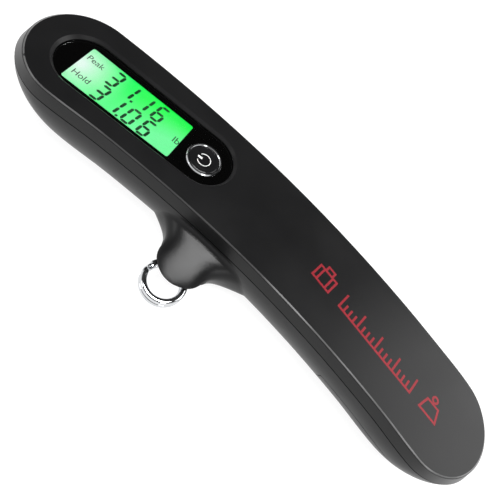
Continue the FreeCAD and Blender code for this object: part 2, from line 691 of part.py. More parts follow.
def corner_arc(start, corner, end):
    """The arc that runs from start to end and is tangent to both legs of their corner."""
    to_start = (start - corner).normalize()
    to_end = (end - corner).normalize()
    half = to_start.getAngle(to_end) / 2
    leg = (start - corner).Length
    reach = leg / math.cos(half) - leg * math.tan(half)
    middle = corner + (to_start + to_end).normalize() * reach
    return Part.Arc(start, middle, end).toShape()


def ring_point(degrees, rise):
    """A point of the split ring's centre line in the ring's rest pose."""
    turn = math.radians(degrees)
    return V(NECK_X + RING_MEAN_R * math.cos(turn),
             EYE_Y - RING_MEAN_R + RING_MEAN_R * math.sin(turn), PULL_Z + rise)


def ring_heading(degrees):
    """The direction in which the split ring's wire runs at an angle."""
    turn = math.radians(degrees)
    return V(-math.sin(turn), math.cos(turn), 0)


def ring_turn(first, last, rise):
    """A flat arc of the ring between two angles."""
    points = [ring_point(a, rise) for a in (first, (first + last) / 2, last)]
    return Part.Arc(*points).toShape()


def ring_climb(first, last, low, high):
    """Two tangent arcs that lead from the lower turn to the upper one."""
    start = ring_point(first, low)
    end = ring_point(last, high)
    heading_in = ring_heading(first)
    heading_out = ring_heading(last)
    gap = end - start
    both = heading_in + heading_out
    spread = 2 * (1 - heading_in.dot(heading_out))
    along = gap.dot(both)
    leg = (math.sqrt(along ** 2 + spread * gap.dot(gap)) - along) / spread
    corner_a = start + heading_in * leg
    corner_b = end - heading_out * leg
    middle = (corner_a + corner_b) * 0.5
    return [corner_arc(start, corner_a, middle), corner_arc(middle, corner_b, end)]


def split_ring():
    """The split ring: two flat turns joined by a short climb."""
    low = -RING_PITCH / 2
    high = RING_PITCH / 2
    climb_end = RING_START + 360
    climb_start = climb_end - RING_STEP_ANGLE
    edges = [ring_turn(RING_START, climb_start, low)]
    edges += ring_climb(climb_start, climb_end, low, high)
    edges.append(ring_turn(climb_end, climb_end + 360 - RING_STEP_ANGLE, high))
    section = Part.Wire([Part.makeCircle(RING_WIRE_D / 2, ring_point(RING_START, low),
                                         ring_heading(RING_START))])
    return Part.Wire(edges).makePipeShell([section], True, False)


def battery(side, nub_outwards):
    """One cylindrical cell of the smaller household size."""
    v = side * CELL_PITCH / 2
    low = -CELL_LENGTH / 2
    jacket_length = CELL_LENGTH - NUB_LENGTH
    start = low if nub_outwards else low + NUB_LENGTH
    jacket = Part.makeCylinder(CELL_R, jacket_length, V(start, v, CELL_Z), V(1, 0, 0))
    jacket = jacket.makeFillet(0.5, [e for e in jacket.Edges if e.BoundBox.XLength < 0.01])
    nub_start = start + jacket_length - 0.1 if nub_outwards else low
    nub = Part.makeCylinder(NUB_R, NUB_LENGTH + 0.1, V(nub_start, v, CELL_Z), V(1, 0, 0))
    return in_bay(jacket.fuse(nub).removeSplitter())


def battery_tray():
    """The tray between the front cover and the cells, with a trough for each cell."""
    body = grip_solid(WALL + 1.1, -WALL - 0.15)
    tray = body.common(in_bay(block(TRAY_SPAN, (-BIG / 4, BIG / 4), (TRAY_BOTTOM, 0))))
    low = -CELL_LENGTH / 2 - 2.9
    for side in (-1, 1):
        trough = Part.makeCylinder(CELL_R + 0.15, CELL_LENGTH + 4.6,
                                   V(low, side * CELL_PITCH / 2, CELL_Z), V(1, 0, 0))
        opening = block((low, low + CELL_LENGTH + 4.6),
                        (side * CELL_PITCH / 2 - CELL_R - 0.15, side * CELL_PITCH / 2 + CELL_R + 0.15),
                        (-BIG / 10, CELL_Z))
        tray = tray.cut(in_bay(trough.fuse(opening)))
    hollow = block((TRAY_SPAN[0] + 1.5, TRAY_SPAN[1] - 1.5), (-1.6, 1.6), (-4.9, 0))
    return tray.cut(in_bay(hollow)).removeSplitter()


def contact_spring(u, v):
    """A tapered coil spring that presses on a cell's flat end."""
    wire_r = 0.25
    length = 1.8
    helix = Part.makeHelix(0.6, length, 3.0, -18.0)
    start = helix.Vertexes[0].Point
    section = Part.Wire([Part.makeCircle(wire_r, start, V(0, 1, 0))])
    coil = Part.Wire(helix.Edges).makePipeShell([section], True, True)
    coil.rotate(V(0, 0, 0), V(0, 1, 0), 90)
    coil.translate(V(u, v, CELL_Z))
    return coil


def plate(u, v, half_width, half_height, thick):
    """A thin upright contact plate square to the cells."""
    return block((u, u + thick), (v - half_width, v + half_width),
                 (CELL_Z - half_height, CELL_Z + half_height))


def outer_contact():
    """The plate at the bay's outer end that joins both cells."""
    u = CELL_LENGTH / 2 + 0.05
    return in_bay(plate(u + 0.4, 0, CELL_PITCH / 2 + 2.4, CONTACT_HALF, CONTACT_THICK))


def positive_contact():
    """The plate that touches the first cell's raised end."""
    u = -CELL_LENGTH / 2 - 0.05 - CONTACT_THICK
    return in_bay(plate(u, -CELL_PITCH / 2, 3.4, CONTACT_HALF, CONTACT_THICK))


def negative_contact():
    """The spring and its plate at the second cell's flat end."""
    u = -CELL_LENGTH / 2 - 2.75
    base = plate(u, CELL_PITCH / 2, 3.4, CONTACT_HALF, CONTACT_THICK)
    coil = contact_spring(u + CONTACT_THICK + 0.1, CELL_PITCH / 2)
    return in_bay(base.fuse(coil))


def tube(points, bend, radius):
    """A round wire along straight runs joined by arcs of the given bend radius."""
    edges = []
    here = points[0]
    for i in range(1, len(points) - 1):
        before = (points[i - 1] - points[i]).normalize()
        after = (points[i + 1] - points[i]).normalize()
        setback = bend / math.tan(before.getAngle(after) / 2)
        arc_in = points[i] + before * setback
        arc_out = points[i] + after * setback
        edges.append(Part.LineSegment(here, arc_in).toShape())
        edges.append(corner_arc(arc_in, points[i], arc_out))
        here = arc_out
    edges.append(Part.LineSegment(here, points[-1]).toShape())
    path = Part.Wire(edges)
    section = Part.Wire([Part.makeCircle(radius, points[0], points[1] - points[0])])
    return path.makePipeShell([section], True, False)


def battery_wire(side, start_u):
    """One supply wire from a battery contact to the circuit board."""
    lane = side * 4.3
    start = in_bay(Part.Vertex(start_u, side * 2.9, CELL_Z + 1.8)).Point
    points = [start, V(start.x - 4.0, lane, -9.2), V(4.0, lane, -8.0), V(-8.0, lane * 0.8, -5.0),
              V(-18.0, lane * 0.8, -4.6), V(-23.0, lane * 0.8 - 1.0, -5.9)]
    return tube(points, 2.5, 0.5)


def gauge_wires():
    """Four thin wires from the strain gauges to the circuit board."""
    wires = []
    for side in (-1, 1):
        for shift in (0.0, 1.0):
            lane = side * (0.7 + shift)
            points = [V(-1.8 - shift, side * 5.6, PULL_Z + COAT[1] / 2 + 0.25),
                      V(-3.4 - shift, side * (3.8 + shift), -8.6), V(-12.0, lane, -7.0),
                      V(-18.0, lane, -4.9), V(-21.6, lane, -6.05)]
            wires.append(tube(points, 1.6, 0.3))
    return Part.makeCompound(wires)


BUILDERS = {
    "front_cover": front_cover,
    "back_shell": back_shell,
    "battery_cover": battery_cover,
    "housing_screws": housing_screws,
    "display_lens": display_lens,
    "lens_mask": lens_mask,
    "lcd_glass": lcd_glass,
    "light_panel": light_panel,
    "light_led": light_led,
    "lcd_frame": lcd_frame,
    "contact_strip": contact_strip,
    "main_pcb": main_pcb,
    "pcb_screws": pcb_screws,
    "controller_blob": controller_blob,
    "converter_chip": converter_chip,
    "quartz_can": quartz_can,
    "small_parts": small_parts,
    "tact_switch": tact_switch,
    "switch_plunger": switch_plunger,
    "power_button": power_button,
    "button_bezel": button_bezel,
    "load_cell_beam": load_cell_beam,
    "strain_gauges": strain_gauges,
    "gauge_coating": gauge_coating,
    "load_cell_screws": load_cell_screws,
    "pull_rod": pull_rod,
    "rod_washer": rod_washer,
    "rod_nut": rod_nut,
    "neck_bush": neck_bush,
    "split_ring": split_ring,
    "battery_1": lambda: battery(1, True),
    "battery_2": lambda: battery(-1, False),
    "battery_tray": battery_tray,
    "outer_contact": outer_contact,
    "positive_contact": positive_contact,
    "negative_contact": negative_contact,
    "battery_wire_red": lambda: battery_wire(-1, -CELL_LENGTH / 2 - 0.65),
    "battery_wire_black": lambda: battery_wire(1, -CELL_LENGTH / 2 - 2.9),
    "gauge_wires": gauge_wires,
}

RING_BOTTOM = EYE_Y - 2 * RING_MEAN_R - RING_WIRE_D / 2
GRIP_TOP = FACE_HALF_WIDTH + SIDE_FLARE
TO_ORIGIN = V(0, -(RING_BOTTOM + GRIP_TOP) / 2, -GRIP_BOTTOM)


def main():
    os.makedirs("parts", exist_ok=True)
    for name, build in BUILDERS.items():
        shape = build()
        shape.translate(TO_ORIGIN)
        shape.exportStep("parts/" + name + ".step")


if __name__ == "__main__":
    main()
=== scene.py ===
"""Looks of the digital luggage scale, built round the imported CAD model, in metres."""
import math

import bmesh
import bpy
from mathutils import Matrix, Vector


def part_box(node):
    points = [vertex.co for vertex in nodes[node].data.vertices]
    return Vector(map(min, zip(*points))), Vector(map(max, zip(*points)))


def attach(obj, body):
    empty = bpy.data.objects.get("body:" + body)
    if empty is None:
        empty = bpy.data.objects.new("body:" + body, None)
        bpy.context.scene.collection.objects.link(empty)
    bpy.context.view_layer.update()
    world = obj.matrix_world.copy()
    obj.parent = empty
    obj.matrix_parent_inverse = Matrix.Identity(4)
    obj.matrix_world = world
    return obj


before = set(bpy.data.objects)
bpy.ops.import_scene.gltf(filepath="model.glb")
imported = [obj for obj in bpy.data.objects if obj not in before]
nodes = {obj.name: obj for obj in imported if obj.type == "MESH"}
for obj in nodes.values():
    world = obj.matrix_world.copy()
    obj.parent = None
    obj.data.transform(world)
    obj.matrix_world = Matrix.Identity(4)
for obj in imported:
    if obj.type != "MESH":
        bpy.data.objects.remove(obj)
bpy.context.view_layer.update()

# Lengths are in millimetres and angles in degrees unless a comment says otherwise.
MM = 0.001

# The soft-touch coat, and a painted highlight along its bevelled edge.
COAT_SHADES = ((0.0028, 0.0028, 0.0030), (0.0038, 0.0038, 0.0040))
COAT_ROUGHNESS = (0.31, 0.38)
COAT_SPECULAR = 0.20
# Painted highlight: a pale grey painted on the bevelled edge, with the glossier roughness used
# there.
BEVEL_HIGHLIGHT_SHADE = (0.17, 0.17, 0.17)
BEVEL_HIGHLIGHT_ROUGHNESS = 0.24
RIM_REACH = (28.5, 10.0)       # from the lens's middle, past its rim
HIGHLIGHT_DEPTH = (0.20, 0.34)       # the painted highlight on the bevelled edge reaches down to here, fading out
HIGHLIGHT_LEAST_AT = -28.0           # place along the grip where the painted highlight on the bevelled edge is weakest
HIGHLIGHT_LEAST = 0.15               # share of the painted highlight left there
HIGHLIGHT_SPAN = (16.0, 44.0)        # the painted highlight grows between these distances from that place
HIGHLIGHT_PATCHES = (0.35, 1.0)      # least and most painted highlight from patch to patch
HIGHLIGHT_SLANT = (0.80, 0.95)       # upward part of the normal, from full painted highlight to none

# Noise, in cycles per metre, shared by the plastics and the coat.
BROAD_NOISE = 60.0             # slow change of shade and gloss
COAT_NOISE = 5200.0            # the coat's fine grain
PATCH_NOISE = 55.0             # patches of the painted highlight
NOISE_MIDDLE = (0.3, 0.7)      # the span that most of a noise texture's values fall in

# The display.
WINDOW = (31.2, 13.1)          # visible part of the display
DISPLAY_TURN = 9.0             # the display and the button are turned this much on the face
FIELD_HALF = (17.0, 7.3)       # half length and half width of the glowing field
FIELD_LIFT = 0.02              # height of the field above the glass
INK_LIFT = 0.06                # height of the digits and words above the glass
TEAL = (0.01, 1.0, 0.22)       # at the left end of the field
GREEN = (0.003, 1.0, 0.07)     # in its middle
PALE = (0.17, 1.0, 0.35)       # in its lower right corner
HOT = (0.85, 1.0, 0.92)        # by the lamp
TEAL_TO_GREEN = (0.1, 0.55)    # where the green sets in, in lengths of the window
GREEN_TO_PALE = (0.08, 0.55)   # where the pale sets in, in lengths times widths
LAMP_AT = (-0.98, 0.1)         # the bright spot by the lamp, in half lengths and half widths
LAMP_REACH = (1.0, 13.5)       # the spot fades out between these distances
LAMP_FADING = 1.7              # how steeply it fades
DIGIT_SIZE = (3.1, 5.9)        # width and height
DIGIT_PITCH = 4.6
DIGIT_STROKE = 0.74
DIGIT_GAP = 0.10               # each segment stops this much short at both its ends
DIGIT_SLANT = 0.13             # lean to the right per unit of height
FIRST_DIGIT_U = -6.7
POINT_SIZE = 0.64              # the decimal point after the second digit
POINT_SHIFT = -0.35
ROWS = (("3116", 3.4), ("3106", -2.95))    # (digits, height of their middle)
WORDS = (                      # (piece, word, left end, foot, height)
    ("word_peak", "Peak", -15.1, 2.9, 1.75),
    ("word_hold", "Hold", -14.9, -3.5, 1.75),
    ("word_unit", "lb", 13.7, -1.1, 2.0),
)

# The mark on the button.
SYMBOL_TURN = 90.0             # turned from the display's own axes
SYMBOL_RADIUS = 1.95
SYMBOL_STROKE = 0.46
SYMBOL_ARC = (125.0, 415.0)    # where the open ring starts and ends
SYMBOL_BAR = (0.6, 2.6)        # foot and head of the bar
SYMBOL_SINK = 0.27             # below the cap's rim, because the cap is dished
SYMBOL_THICKNESS = 0.03

# The print on the right arm.
PRINT_TURN = -7.5
PRINT_AT = (0.738, 0.528)      # its middle, in lengths and widths of the front cover's box
PRINT_LIFT = 0.012
PRINT_STROKE = 0.62
PRINT_FOOT = -2.4              # the line that the suitcase and the graduated line stand on
SUITCASE_U = -21.5
CASE_HALF = 3.1                # half the suitcase's width
CASE_TOP = 1.8
BAND_U = 1.6                   # the two bands, from its middle
HANDLE_U = 1.2                 # the handle's two sides, from its middle
HANDLE_TOP = 3.4
WEIGHT_U = 21.0
WEIGHT_FOOT = (3.0, -2.6)      # half width and height of the weight's foot
WEIGHT_TOP = (2.0, 1.2)        # half width and height of its top
WEIGHT_RING = 0.85             # radius
TICK_SPAN = (-14.0, 14.0)
TICK_COUNT = 17
TICK_HEADS = (2.7, 0.3)        # of a tall and of a short tick
TALL_EVERY = 4

# The stage, the surround and the lamps.
FLOOR_HALF = 4.0               # half the floor's side, in metres
FLOOR_DROP = 0.2
FLOOR_GREY = 0.12              # the floor's own shade
FLOOR_GLOW = 0.92              # light that the floor gives by itself, like a light table
HORIZON = (0.30, 0.55)         # sines of the heights where the surround goes from white to dim
SKY_DIM = 0.05                 # brightness of the surround overhead
LIGHTS = (                     # (name, direction, (width, height), brightness), all 1 m away
    ("overhead", (0.05, -0.15, 0.98), (0.85, 0.50), 18.0),
    ("far_right", (0.66, 0.50, 0.60), (0.60, 0.60), 4.2),
    ("right_edge", (0.71, -0.55, 0.40), (0.30, 0.30), 4.5),
    ("left_edge", (-0.72, -0.56, 0.41), (0.30, 0.30), 4.5),
)

# The camera.
SENSOR_WIDTH = 36.0
FOCAL_LENGTH = 35.06
NEAREST = 0.005                # nearest distance that it sees, in metres
CAMERA_PLACE = (-8.3, -70.975, 118.517)
CAMERA_RIGHT = (0.70780, 0.55417, 0.43808)
CAMERA_FORWARD = (0.04884, 0.58027, -0.81296)


# ---- node helpers -------------------------------------------------------------------------
def new_material(name):
    """An empty node material with its shader: (material, node tree, shader)."""
    material = bpy.data.materials.new(name)
    material.use_nodes = True
    tree = material.node_tree
    return material, tree, tree.nodes["Principled BSDF"]


def link(tree, source, target):
    tree.links.new(source, target)


def coordinates(tree):
    """Object coordinates, in metres."""
    return tree.nodes.new("ShaderNodeTexCoord").outputs["Object"]


def noise(tree, vector, scale, detail):
    """A noise texture's value output."""
    node = tree.nodes.new("ShaderNodeTexNoise")
    node.inputs["Scale"].default_value = scale
    node.inputs["Detail"].default_value = detail
    link(tree, vector, node.inputs["Vector"])
    return node.outputs["Fac"]


def ranged(tree, value, low, high, from_low=0.0, from_high=1.0):
    """A value mapped from one range to another."""
    node = tree.nodes.new("ShaderNodeMapRange")
    node.inputs["From Min"].default_value = from_low
    node.inputs["From Max"].default_value = from_high
    node.inputs["To Min"].default_value = low
    node.inputs["To Max"].default_value = high
    link(tree, value, node.inputs["Value"])
    return node.outputs["Result"]


def feed(tree, value, socket):
    """Link a socket to another one, or set it to a plain number or colour."""
    if isinstance(value, bpy.types.NodeSocket):
        link(tree, value, socket)
    elif isinstance(value, tuple) and len(value) == 3 and socket.type == "RGBA":
        socket.default_value = (*value, 1.0)
    else:
        socket.default_value = value


def computed(tree, operation, *values):
    """The result of a sum, product or other operation on sockets and numbers."""
    node = tree.nodes.new("ShaderNodeMath")
    node.operation = operation
    for value, socket in zip(values, node.inputs):
        feed(tree, value, socket)
    return node.outputs["Value"]


def axes(tree, vector):
    """The three parts of a vector, as sockets by name."""
    node = tree.nodes.new("ShaderNodeSeparateXYZ")
    link(tree, vector, node.inputs["Vector"])
    return node.outputs


def blended(tree, factor, first, second, kind="RGBA"):
    """A colour, or with kind FLOAT a number, between two others."""
    node = tree.nodes.new("ShaderNodeMix")
    node.data_type = kind
    feed(tree, factor, node.inputs["Factor"])
    feed(tree, first, node.inputs["A"])
    feed(tree, second, node.inputs["B"])
    return node.outputs["Result"]


def bumped(tree, shader, height, distance, strength):
    """Roughen a shader's surface by a height value."""
    node = tree.nodes.new("ShaderNodeBump")
    node.inputs["Strength"].default_value = strength
    node.inputs["Distance"].default_value = distance
    link(tree, height, node.inputs["Height"])
    link(tree, node.outputs["Normal"], shader.inputs["Normal"])


def moulded(name, dark, light, roughness, grain=4000.0, bump=0.00002, specular=0.5):
    """Moulded plastic: fine grain, slight colour and gloss variation."""
    material, tree, shader = new_material(name)
    where = coordinates(tree)
    broad = noise(tree, where, BROAD_NOISE, 4.0)
    fine = noise(tree, where, grain, 2.0)
    link(tree, blended(tree, broad, dark, light), shader.inputs["Base Color"])
    link(tree, ranged(tree, broad, roughness - 0.04, roughness + 0.05, *NOISE_MIDDLE),
         shader.inputs["Roughness"])
    shader.inputs["Specular IOR Level"].default_value = specular
    bumped(tree, shader, fine, bump, 0.5)
    return material


def metal(name, dark, light, roughness, grain=900.0, bump=0.00001):
    """Bare metal with a fine grain in its colour and gloss."""
    material, tree, shader = new_material(name)
    grain_value = noise(tree, coordinates(tree), grain, 4.0)
    link(tree, blended(tree, grain_value, dark, light), shader.inputs["Base Color"])
    link(tree, ranged(tree, grain_value, roughness * 0.7, roughness * 1.4, *NOISE_MIDDLE),
         shader.inputs["Roughness"])
    shader.inputs["Metallic"].default_value = 1.0
    bumped(tree, shader, grain_value, bump, 0.4)
    return material


def away_from_lens(tree):
    """Zero round the lens and its sloped rim, one elsewhere."""
    local = tree.nodes.new("ShaderNodeMapping")
    local.vector_type = "TEXTURE"
    local.inputs["Location"].default_value = box_middle("display_lens")
    local.inputs["Rotation"].default_value = (0.0, 0.0, math.radians(DISPLAY_TURN))
    link(tree, coordinates(tree), local.inputs["Vector"])
    place = axes(tree, local.outputs["Vector"])
    past = [computed(tree, "GREATER_THAN", computed(tree, "ABSOLUTE", place[axis]), reach * MM)
            for axis, reach in zip("XY", RIM_REACH)]
    return computed(tree, "MAXIMUM", *past)


def bevel_highlight_mask(tree, where):
    """Mask of the painted highlight: up to one on the front face's bevelled edge, growing away
    from one place along the grip, zero elsewhere.
    """
    place = axes(tree, where)
    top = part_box("front_cover")[1].z
    high = ranged(tree, place["Z"], 0.0, 1.0, top - HIGHLIGHT_DEPTH[1] * MM, top - HIGHLIGHT_DEPTH[0] * MM)
    geometry = tree.nodes.new("ShaderNodeNewGeometry")
    facing = axes(tree, geometry.outputs["True Normal"])
    slanted_face = ranged(tree, facing["Z"], 1.0, 0.0, *HIGHLIGHT_SLANT)
    patches = ranged(tree, noise(tree, where, PATCH_NOISE, 4.0), *HIGHLIGHT_PATCHES, 0.35, 0.6)
    # the painted highlight is weakest at one place along the grip and grows away from it
    far = computed(tree, "ABSOLUTE", computed(tree, "SUBTRACT", place["X"], HIGHLIGHT_LEAST_AT * MM))
    away_from_weakest = ranged(tree, far, HIGHLIGHT_LEAST, 1.0, HIGHLIGHT_SPAN[0] * MM, HIGHLIGHT_SPAN[1] * MM)
    mask = away_from_lens(tree)
    for part in (high, slanted_face, patches, away_from_weakest):
        mask = computed(tree, "MULTIPLY", mask, part)
    return mask


def soft_touch_black():
    """The grip's satin black soft-touch coat, with a painted highlight in pale grey and a
    glossier finish along the bevelled edge.
    """
    material, tree, shader = new_material("soft_touch_black")
    where = coordinates(tree)
    broad = noise(tree, where, BROAD_NOISE, 4.0)
    fine = noise(tree, where, COAT_NOISE, 2.0)
    # painted highlight along the bevelled edge: pale grey colour, and lower roughness
    painted_highlight = bevel_highlight_mask(tree, where)
    coat = blended(tree, broad, *COAT_SHADES)
    satin = ranged(tree, broad, *COAT_ROUGHNESS, *NOISE_MIDDLE)
    link(tree, blended(tree, painted_highlight, coat, BEVEL_HIGHLIGHT_SHADE), shader.inputs["Base Color"])
    link(tree, blended(tree, painted_highlight, satin, BEVEL_HIGHLIGHT_ROUGHNESS, "FLOAT"),
         shader.inputs["Roughness"])
    shader.inputs["Specular IOR Level"].default_value = COAT_SPECULAR
    bumped(tree, shader, fine, 0.000010, 0.5)
    return material


def clear_lens():
    """The clear polished lens over the display."""
    material, tree, shader = new_material("clear_lens")
    smear = noise(tree, coordinates(tree), 90.0, 5.0)
    link(tree, ranged(tree, smear, 0.01, 0.045, 0.35, 0.7), shader.inputs["Roughness"])
    shader.inputs["Base Color"].default_value = (0.97, 0.98, 0.98, 1.0)
    shader.inputs["Transmission Weight"].default_value = 1.0
    shader.inputs["IOR"].default_value = 1.49
    return material


def glossy_black(name, roughness):
    """Polished black plastic or print."""
    return moulded(name, (0.003, 0.003, 0.0033), (0.005, 0.005, 0.0055), roughness,
                   grain=900.0, bump=0.000002)


def chrome(name):
    """Bright nickel-chrome plating with faint scuffs."""
    return metal(name, (0.50, 0.51, 0.53), (0.70, 0.71, 0.72), 0.08, grain=600.0, bump=0.000003)


def glowing_display():
    """The back-lit green field, brightest beside the lamp at its left end."""
    material, tree, shader = new_material("glowing_display")
    where = coordinates(tree)
    place = axes(tree, where)
    half_length, half_width = WINDOW[0] / 2 * MM, WINDOW[1] / 2 * MM
    along = ranged(tree, place["X"], 0.0, 1.0, -half_length, half_length)
    across = ranged(tree, place["Y"], 0.0, 1.0, half_width, -half_width)
    green = blended(tree, ranged(tree, along, 0.0, 1.0, *TEAL_TO_GREEN), TEAL, GREEN)
    corner = computed(tree, "MULTIPLY", along, across)
    pale = blended(tree, ranged(tree, corner, 0.0, 1.0, *GREEN_TO_PALE), green, PALE)
    from_lamp = tree.nodes.new("ShaderNodeVectorMath")
    from_lamp.operation = "DISTANCE"
    link(tree, where, from_lamp.inputs[0])
    from_lamp.inputs[1].default_value = (LAMP_AT[0] * half_length, LAMP_AT[1] * half_width, 0.0)
    near, far = LAMP_REACH
    hot = ranged(tree, from_lamp.outputs["Value"], 1.0, 0.0, near * MM, far * MM)
    lit = blended(tree, computed(tree, "POWER", hot, LAMP_FADING), pale, HOT)
    shade = ranged(tree, noise(tree, where, 1400.0, 2.0), 0.03, 0.0)
    link(tree, blended(tree, shade, lit, (0.0, 0.0, 0.0)), shader.inputs["Emission Color"])
    shader.inputs["Base Color"].default_value = (0.02, 0.06, 0.03, 1.0)
    shader.inputs["Roughness"].default_value = 0.3
    shader.inputs["Emission Strength"].default_value = 1.0
    return material


def display_ink():
    """The dark liquid-crystal segments."""
    material, tree, shader = new_material("display_ink")
    patch = noise(tree, coordinates(tree), 500.0, 3.0)
    link(tree, blended(tree, patch, (0.0, 0.018, 0.003), (0.004, 0.035, 0.008)),
         shader.inputs["Base Color"])
    link(tree, blended(tree, patch, (0.0, 0.03, 0.004), (0.0, 0.05, 0.008)),
         shader.inputs["Emission Color"])
    shader.inputs["Emission Strength"].default_value = 0.35
    shader.inputs["Roughness"].default_value = 0.35
    return material


def printed(name, dark, light, roughness=0.36):
    """Screen-printed ink with a slightly uneven film."""
    return moulded(name, dark, light, roughness, grain=2600.0, bump=0.000006, specular=0.12)


# ---- mesh helpers -------------------------------------------------------------------------
def add_piece(name, mesh, material, body, place):
    """Put a mesh in the scene as a named piece that rides on a CAD body."""
    piece = bpy.data.objects.new(name, mesh)
    bpy.context.scene.collection.objects.link(piece)
    piece.matrix_world = place
    mesh.materials.clear()
    mesh.materials.append(material)
    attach(piece, body)


def flat_mesh(name, outlines, thickness=0.0):
    """Flat faces from closed outlines in millimetres, given some thickness if wanted."""
    shape = bmesh.new()
    for outline in outlines:
        corners = [shape.verts.new((x * MM, y * MM, 0.0)) for x, y in outline]
        shape.faces.new(corners)
    bmesh.ops.recalc_face_normals(shape, faces=shape.faces)
    for face in shape.faces:
        if face.normal.z < 0:
            face.normal_flip()
    if thickness:
        tops = bmesh.ops.extrude_face_region(shape, geom=list(shape.faces))["geom"]
        lifted = [v for v in tops if isinstance(v, bmesh.types.BMVert)]
        bmesh.ops.translate(shape, verts=lifted, vec=(0, 0, thickness * MM))
        bmesh.ops.recalc_face_normals(shape, faces=shape.faces)
    mesh = bpy.data.meshes.new(name)
    shape.to_mesh(mesh)
    shape.free()
    return mesh


def turned_place(centre, degrees):
    """A placement at a point, turned about +Z."""
    return Matrix.Translation(centre) @ Matrix.Rotation(math.radians(degrees), 4, "Z")


def box_middle(node):
    """The middle of a CAD node's box."""
    low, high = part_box(node)
    return (low + high) / 2


def ring_outline(radius, width, start=0.0, end=360.0, steps=48):
    """Quads along a circular stroke, from start to end degrees."""
    quads = []
    for i in range(steps):
        a = math.radians(start + (end - start) * i / steps)
        b = math.radians(start + (end - start) * (i + 1) / steps)
        quads.append([((radius + side) * math.cos(t), (radius + side) * math.sin(t))
                      for side, t in ((-width / 2, a), (width / 2, a), (width / 2, b),
                                      (-width / 2, b))])
    return quads


def bar(x0, y0, x1, y1, width):
    """A straight stroke between two points."""
    run = Vector((x1 - x0, y1 - y0)).normalized() * (width / 2)
    side = Vector((-run.y, run.x))
    return [(x0 + side.x, y0 + side.y), (x0 - side.x, y0 - side.y),
            (x1 - side.x, y1 - side.y), (x1 + side.x, y1 + side.y)]


# ---- display ------------------------------------------------------------------------------
# The segments of each digit, lettered clockwise from the top, with g in the middle.
SEGMENTS = {"0": "abcdef", "1": "bc", "2": "abged", "3": "abgcd", "4": "fgbc", "5": "afgcd",
            "6": "afgedc", "7": "abc", "8": "abcdefg", "9": "abcfgd"}


def segment(letter):
    """One segment of a digit, with pointed ends, measured from the digit's middle."""
    half_w = (DIGIT_SIZE[0] - DIGIT_STROKE) / 2
    half_h = (DIGIT_SIZE[1] - DIGIT_STROKE) / 2
    r = DIGIT_STROKE / 2
    heights = {"a": half_h, "g": 0.0, "d": -half_h}
    if letter in heights:
        y = heights[letter]
        reach = half_w - DIGIT_GAP
        return [(-reach, y), (-reach + r, y + r), (reach - r, y + r), (reach, y),
                (reach - r, y - r), (-reach + r, y - r)]
    x = half_w if letter in "bc" else -half_w
    foot, head = (0.0, half_h) if letter in "bf" else (-half_h, 0.0)
    foot, head = foot + DIGIT_GAP, head - DIGIT_GAP
    return [(x, foot), (x + r, foot + r), (x + r, head - r), (x, head),
            (x - r, head - r), (x - r, foot + r)]


def slanted(points, u, v):
    """Lean a digit's outline and move it to its place."""
    return [(x + y * DIGIT_SLANT + u, y + v) for x, y in points]


def digit_outlines():
    """Every lit segment and decimal point on the display."""
    shapes = []
    for digits, v in ROWS:
        for i, digit in enumerate(digits):
            u = FIRST_DIGIT_U + DIGIT_PITCH * i
            shapes += [slanted(segment(letter), u, v) for letter in SEGMENTS[digit]]
        point_u = FIRST_DIGIT_U + DIGIT_PITCH * 1.5
        point_v = v - DIGIT_SIZE[1] / 2 + DIGIT_STROKE / 2
        dot = bar(-POINT_SIZE / 2, 0.0, POINT_SIZE / 2, 0.0, POINT_SIZE)
        shapes.append(slanted(dot, point_u + POINT_SHIFT, point_v))
    return shapes


def word(name, text, u, v, height, place, material):
    """A small word on the display, its lower left corner at (u, v)."""
    curve = bpy.data.curves.new(name, "FONT")
    curve.body = text
    holder = bpy.data.objects.new(name, curve)
    bpy.context.scene.collection.objects.link(holder)
    bpy.context.view_layer.update()
    flat = bpy.data.meshes.new_from_object(holder.evaluated_get(
        bpy.context.evaluated_depsgraph_get()))
    bpy.data.objects.remove(holder)
    low = Vector([min(vert.co[k] for vert in flat.vertices) for k in range(3)])
    high = Vector([max(vert.co[k] for vert in flat.vertices) for k in range(3)])
    scale = height * MM / (high.y - low.y)
    flat.transform(Matrix.Scale(scale, 4) @ Matrix.Translation(-low))
    flat.transform(Matrix.Translation((u * MM, v * MM, 0)))
    add_piece(name, flat, material, "housing", place)


def display():
    """The glowing field with its digits and small words."""
    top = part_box("lcd_glass")[1].z
    centre = box_middle("lcd_glass")
    field_place, ink_place = [
        turned_place(Vector((centre.x, centre.y, top + lift * MM)), DISPLAY_TURN)
        for lift in (FIELD_LIFT, INK_LIFT)]
    half_length, half_width = FIELD_HALF
    field = [(-half_length, -half_width), (half_length, -half_width),
             (half_length, half_width), (-half_length, half_width)]
    add_piece("display_field", flat_mesh("display_field", [field]), glowing_display(),
              "housing", field_place)
    ink = display_ink()
    add_piece("display_digits", flat_mesh("display_digits", digit_outlines()), ink,
              "housing", ink_place)
    for entry in WORDS:
        word(*entry, ink_place, ink)


# ---- button -------------------------------------------------------------------------------
def power_symbol():
    """The white mark on the dished button cap."""
    middle = box_middle("power_button")
    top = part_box("power_button")[1].z
    foot, head = SYMBOL_BAR
    strokes = ring_outline(SYMBOL_RADIUS, SYMBOL_STROKE, *SYMBOL_ARC)
    strokes.append(bar(0.0, foot, 0.0, head, SYMBOL_STROKE))
    white = printed("symbol_white", (0.72, 0.72, 0.72), (0.82, 0.82, 0.82), 0.3)
    place = turned_place(Vector((middle.x, middle.y, top - SYMBOL_SINK * MM)),
                         DISPLAY_TURN + SYMBOL_TURN)
    add_piece("power_symbol", flat_mesh("power_symbol", strokes, SYMBOL_THICKNESS), white,
              "button", place)


